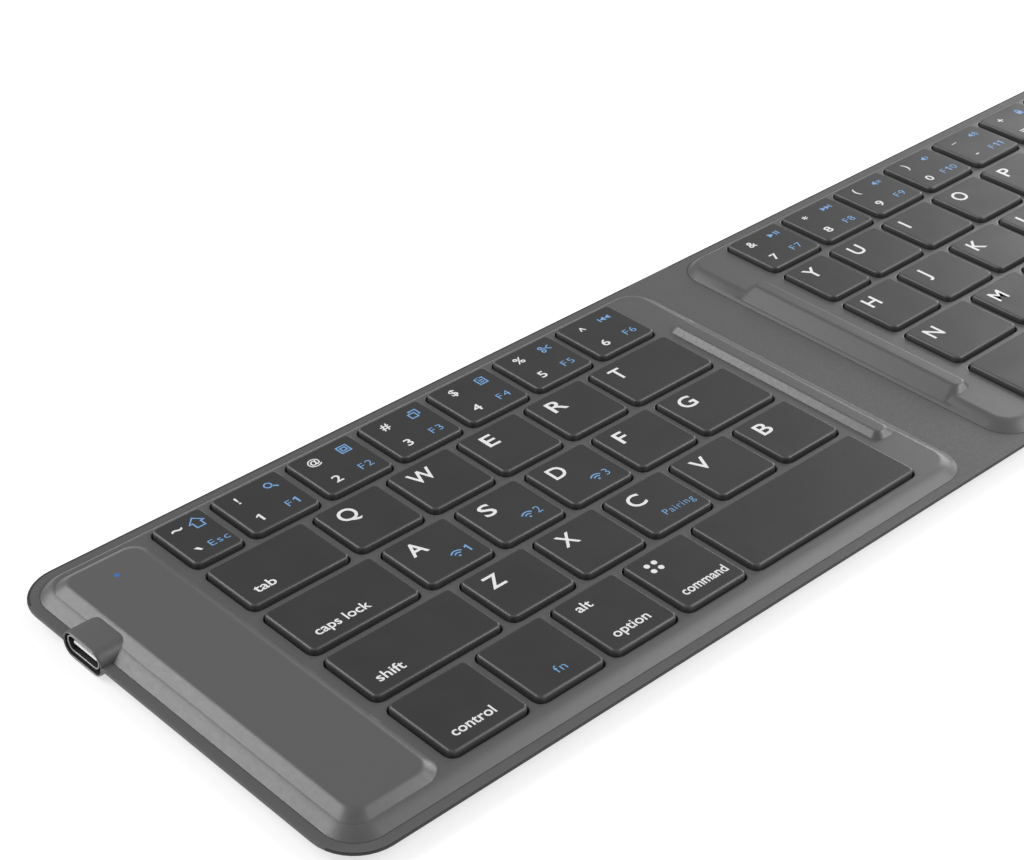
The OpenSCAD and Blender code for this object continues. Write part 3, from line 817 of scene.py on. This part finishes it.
def cover_shape(side):
    """A cover: flange with rounded edges, pan below it, hollow inside. Loops run from the hollow's
    floor up its wall, out over the flange, round its edge and down the pan to the table."""
    steps = [
        # inset of the flange, inset of the pan or none, height
        (None, 3.0, 0.6), (None, 1.2, FLANGE_TOP), (0.55, None, FLANGE_TOP),
        (0.22, None, FLANGE_TOP), (0.1, None, 3.16), (0.02, None, 3.06), (0, None, 2.9),
        (0.02, None, 2.74), (0.1, None, 2.64), (0.22, None, TABLE_GAP),
        (None, 0.0, TABLE_GAP), (None, 0.12, 2.3), (None, 0.9, 0.7), (None, 1.2, 0.3),
        (None, 1.6, 0.08), (None, 2.1, 0.0)]
    loops = []
    for flange, pan, z in steps:
        if pan is None:
            x0, x1, y = -HALF_W + flange, -SPINE, HALF_D - flange
            r = CORNER - flange
            radii = [0.01, 0.01, r, r]
        else:
            x0, x1 = -HALF_W + FLANGE + pan, -SPINE - pan
            y, r = HALF_D - FLANGE - pan, CORNER - FLANGE - pan
            radii = [r] * 4
        loop = loop_of(x0, -y, x1, y, radii, 10)
        if side > 0:
            loop = loop[::-1] * (-1, 1)
            loop = np.roll(loop, 22, axis=0)
        loops.append(at_height(loop, z))
    points, faces = stack(loops, True, True)
    # The front and back of the flange's rounded edge, and a strip of the back's top, are painted dark:
    # painted shade for the shade these upright edges show
    along = np.roll(loops[0], -1, 0) - loops[0]
    cut = np.abs(along[:, 0]) > 0.3 * np.linalg.norm(along, axis=1)
    kind = np.zeros((len(loops) - 1, len(cut)), int)
    kind[3:9, cut] = 1
    kind[2, cut & (loops[0][:, 1] > 0)] = 1
    return (points, faces), list(kind.ravel()) + [0, 0]


def spine_shape(x0, x1):
    """Half of the flexible band: an outline of (y, z) points, rounded at its ends, carried along X
    in even steps."""
    edge = [(0.6, FLANGE_TOP), (0.22, FLANGE_TOP), (0.1, 3.16), (0.02, 3.06), (0, 2.9),
            (0.02, 2.74), (0.1, 2.64), (0.22, TABLE_GAP), (0.6, TABLE_GAP)]
    front = np.array([(-HALF_D + i, z) for i, z in edge])
    back = np.array([(HALF_D - i, z) for i, z in edge[::-1]])
    outline = np.concatenate([front, back])[::-1]
    xs = np.linspace(x0, x1, 25)
    rings = np.array([np.column_stack([np.full(len(outline), x), outline]) for x in xs])
    kind = np.zeros((len(xs) - 1, len(outline)), int)
    # The band's front and back edges are painted dark the same way: painted shade
    kind[:, 1:7] = kind[:, 10:16] = 1
    return stack(rings, True, True), list(kind.ravel()) + [0, 0]


def make_covers():
    def skin(name, made, body, *stands_for):
        shape, kind = made
        return piece(name, shape, body, [SKIN, EDGE_PAINTED_SHADE], stands_for,
                     face_material=kind)

    left = skin("cover_left", cover_shape(-1), "left_half", "left_cover")
    skin("cover_right", cover_shape(1), "right_half", "right_cover")
    a = skin("spine_left", spine_shape(-SPINE, 0), None, "spine_panel")
    b = skin("spine_right", spine_shape(0, SPINE), None)
    for ob, one, two, sx in ((a, "left_half", "spine", -1), (b, "spine", "right_half", 1)):
        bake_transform(ob)
    return left


cover_left = make_covers()


# Charging port

PORT_Y, PORT_Z, PORT_W, PORT_H = 22.65, 2.9, 10.9, 5.1
SOCKET_Z, SOCKET_W, SOCKET_H = 3.2, 8.94, 3.26
MOUTH, PORT_BACK, SOCKET_FACE, SOCKET_BACK = -152.2, -145.4, -151.95, -146.8


def pill(x, w, h, z, n=12):
    """A ring of two half circles of diameter h joined by straight runs, in the plane of one x:
    clockwise seen along +X, so that rings that step along -X wrap outwards."""
    a = np.linspace(-math.pi / 2, math.pi / 2, n + 1)
    run = (w - h) / 2
    y = np.concatenate([-run - h / 2 * np.cos(a), run + h / 2 * np.cos(a)])
    up = np.concatenate([h / 2 * np.sin(a), -h / 2 * np.sin(a)])
    return np.column_stack([np.full(len(y), x), PORT_Y + y, z + up])


def tube_of(steps):
    """A closed wall: rings of (x, width, height, middle height) that end where they began."""
    rings = [pill(*step) for step in steps]
    return stack(rings + rings[:1])


def make_port():
    """The housing has a rounded brim and a dished mouth whose inside is painted near-black as painted
    shade. The socket's shell stands in it, its inside painted dark as painted shade.
    """
    w, h = PORT_W, PORT_H
    brim = [(MOUTH + x, w - 2 * i, h - 2 * i, PORT_Z) for x, i in
            ((0.4, 0), (0.18, 0.03), (0.07, 0.08), (0, 0.15), (0, 0.22), (0.07, 0.29), (0.2, 0.33))]
    bore = [(x, SOCKET_W + 0.1, SOCKET_H + 0.1, SOCKET_Z) for x in (MOUTH + 0.75, PORT_BACK)]
    rings = [(PORT_BACK, w, h, PORT_Z)] + brim + bore
    kind = np.zeros((len(rings), 26), int)
    # The mouth's inner rings down to the bore take the near-black painted shade of the recess
    kind[len(brim):-1] = 1
    piece("port_brim", tube_of(rings), "left_half", [TRAY, PAINTED_SHADE_BLACK], ["port_housing"],
          face_material=kind.ravel())
    w, h = SOCKET_W, SOCKET_H
    shell = [(SOCKET_BACK, w, h, SOCKET_Z)]
    shell += [(SOCKET_FACE + x, w - 2 * i, h - 2 * i, SOCKET_Z) for x, i in
              ((0.12, 0), (0.03, 0.04), (0, 0.12), (0, 0.2), (0.04, 0.27), (0.12, 0.3))]
    shell.append((SOCKET_BACK - 0.4, w - 0.6, h - 0.6, SOCKET_Z))
    # The ring that turns into the shell and the far cap take the dark painted-shade metal
    kind = np.zeros((len(shell) - 1, 26), int)
    kind[-1] = 1
    piece("socket_shell", stack([pill(*step) for step in shell], True, True), "left_half",
          [SOCKET, CAVITY_PAINTED_SHADE], ["usb_socket"], face_material=list(kind.ravel()) + [0, 1])
    tongue = [(SOCKET_BACK, 6.6, 0.66, SOCKET_Z), (SOCKET_FACE + 0.6, 6.6, 0.66, SOCKET_Z),
              (SOCKET_FACE + 0.5, 6.5, 0.56, SOCKET_Z), (SOCKET_FACE + 0.45, 6.3, 0.36, SOCKET_Z)]
    piece("socket_tongue", stack([pill(*step) for step in tongue], True, True), "left_half",
          [TONGUE])


def cut_for_port(*pieces):
    """Takes the housing's bar, a hair larger, out of each piece that it passes through."""
    ends = [(PORT_BACK - 0.05, PORT_W, PORT_H, PORT_Z), (MOUTH - 1, PORT_W, PORT_H, PORT_Z)]
    tool = piece("port_cutter", stack([pill(*e) for e in ends], True, True), None, [TRAY])
    for ob in pieces:
        cut = ob.modifiers.new("port", "BOOLEAN")
        cut.object, cut.operation, cut.solver = tool, "DIFFERENCE", "EXACT"
        view = bpy.context.evaluated_depsgraph_get()
        whole = ob.data
        ob.data = bpy.data.meshes.new_from_object(ob.evaluated_get(view))
        ob.modifiers.remove(cut)
        bpy.data.meshes.remove(whole)
        ob.data.set_sharp_from_angle(angle=math.radians(32))
    mesh = tool.data
    bpy.data.objects.remove(tool)
    bpy.data.meshes.remove(mesh)


make_port()
cut_for_port(cover_left, tray_left, platform)


# Carried-over frame nodes

for node, material in (
        # The membranes take the near-black painted shade seen down the wells
        ("left_plate", STEEL), ("right_plate", STEEL), ("left_membrane", PAINTED_SHADE_BLACK),
        ("right_membrane", PAINTED_SHADE_BLACK), ("battery", FOIL),
        ("main_board", BOARD), ("status_led", LAMP), ("flex_cable", FILM)):
    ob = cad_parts[node]
    ob.data.materials.clear()
    ob.data.materials.append(material)


# Domes and scissor frames


def triangles_of(node):
    """Points in millimetres and corner numbers of a frame node's mesh."""
    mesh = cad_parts[node].data
    mesh.calc_loop_triangles()
    points = np.empty(3 * len(mesh.vertices))
    mesh.vertices.foreach_get("co", points)
    corners = np.empty(3 * len(mesh.loop_triangles), np.int32)
    mesh.loop_triangles.foreach_get("vertices", corners)
    return points.reshape(-1, 3) / MM, corners.reshape(-1, 3)


def make_springs(node, side, keys, name, material):
    """What stands under each key, a dome or frame that flattens on the real keyboard as the key goes
    down, is a piece of its own. A triangle belongs to the key that its centre lies under."""
    points, tris = triangles_of(node)
    centre = points[tris].mean(1)
    found = {}
    for key, (x, y, w, d) in keys.items():
        under = (abs(centre[:, 0] - x - w / 2) < w / 2) & (abs(centre[:, 1] - y - d / 2) < d / 2)
        used, faces = np.unique(tris[under], return_inverse=True)
        if len(used):
            found.setdefault(node_of(key), []).append((points[used], faces.reshape(-1, 3).tolist()))
    for moved, parts in found.items():
        ob = piece(name + moved.removeprefix("key_"), merged(parts), side + "_half", [material],
                   [node])
        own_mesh(ob)


for side, keys in (("left", LEFT_KEYS), ("right", RIGHT_KEYS)):
    make_springs("rubber_domes_" + side, side, keys, "dome_", RUBBER)
    make_springs("scissor_links_" + side, side, keys, "frames_", LINKS)


# Floor and light

def make_stage():
    size = 3.0
    mesh = bpy.data.meshes.new("floor")
    mesh.from_pydata([(-size, -size, -2e-5), (size, -size, -2e-5), (size, size, -2e-5),
                      (-size, size, -2e-5)], [], [(0, 1, 2, 3)])
    floor = bpy.data.objects.new("floor", mesh)
    bpy.context.scene.collection.objects.link(floor)
    f = Finish("floor_pale", (0.5, 0.5, 0.5), 0.8, Specular_IOR_Level=0.2,
               Emission_Color=(1, 1, 1, 1), Emission_Strength=0.62)
    f.mix_colour(f.noise(2, 2), (0.49, 0.49, 0.49), (0.51, 0.51, 0.51))
    mesh.materials.append(f.mat)

    def panel(name, towards, distance, size_x, size_y, power):
        data = bpy.data.lights.new(name, "AREA")
        data.shape, data.size, data.size_y, data.energy = "RECTANGLE", size_x, size_y, power
        ob = bpy.data.objects.new(name, data)
        bpy.context.scene.collection.objects.link(ob)
        d = Vector(towards).normalized()
        ob.location = d * distance
        ob.rotation_mode = "QUATERNION"
        ob.rotation_quaternion = (-d).to_track_quat("-Z", "Y")

    panel("back_left_softbox", (-0.48, 0.60, 0.60), 1.3, 0.85, 0.75, 9.6)
    panel("front_right_softbox", (0.58, -0.50, 0.62), 1.3, 0.8, 0.75, 8.6)
    panel("right_softbox", (0.90, 0.27, 0.36), 1.3, 0.62, 0.52, 5.2)
    panel("low_left_softbox", (-0.80, 0.58, 0.22), 1.3, 0.7, 0.35, 1.6)
    panel("low_front_softbox", (0.58, -0.80, 0.22), 1.3, 0.7, 0.35, 2.4)
    world = bpy.data.worlds.new("studio")
    world.use_nodes = True
    back = world.node_tree.nodes["Background"]
    back.inputs["Color"].default_value = (1, 1, 1, 1)
    back.inputs["Strength"].default_value = 0.4
    bpy.context.scene.world = world
    bpy.context.scene.view_settings.view_transform = "Standard"
    bpy.context.scene.view_settings.look = "None"


make_stage()
